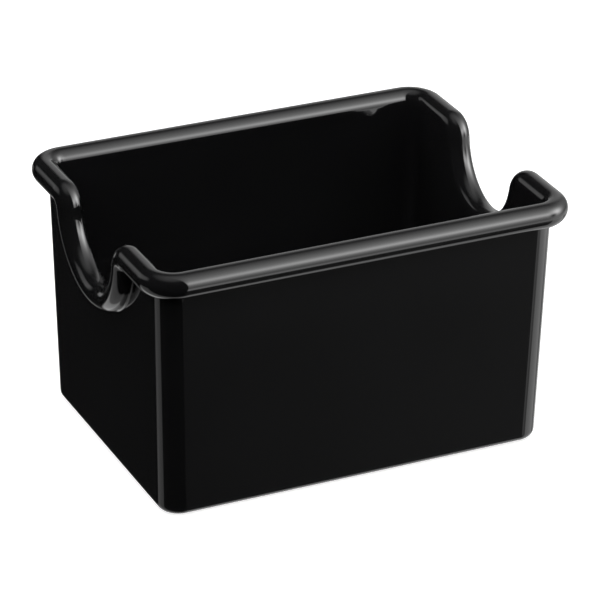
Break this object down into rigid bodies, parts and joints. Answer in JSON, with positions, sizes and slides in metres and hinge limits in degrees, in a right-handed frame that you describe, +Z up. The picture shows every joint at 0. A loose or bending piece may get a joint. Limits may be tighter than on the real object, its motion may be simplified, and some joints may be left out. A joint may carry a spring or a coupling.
{
  "type": "sugar packet caddy",
  "caption": "Open-topped rectangular box for sugar packets, with a full round bead for a rim that dips into a wide U-shaped finger notch in each short end.",
  "frame": {"origin": "middle of the flat underside, which is the bottom centre of the bounding box", "axes": "+Z up out of the open top; +X along the long side, through one notched end; +Y along the short side. The part is the same after half a turn about Z and mirrored in X or Y."},
  "size_m": [0.108, 0.0804, 0.0635],
  "materials": {
    "black_plastic": "gloss"
  },
  "bodies": {
    "root": {"caddy": "black_plastic"}
  },
  "joints": []
}
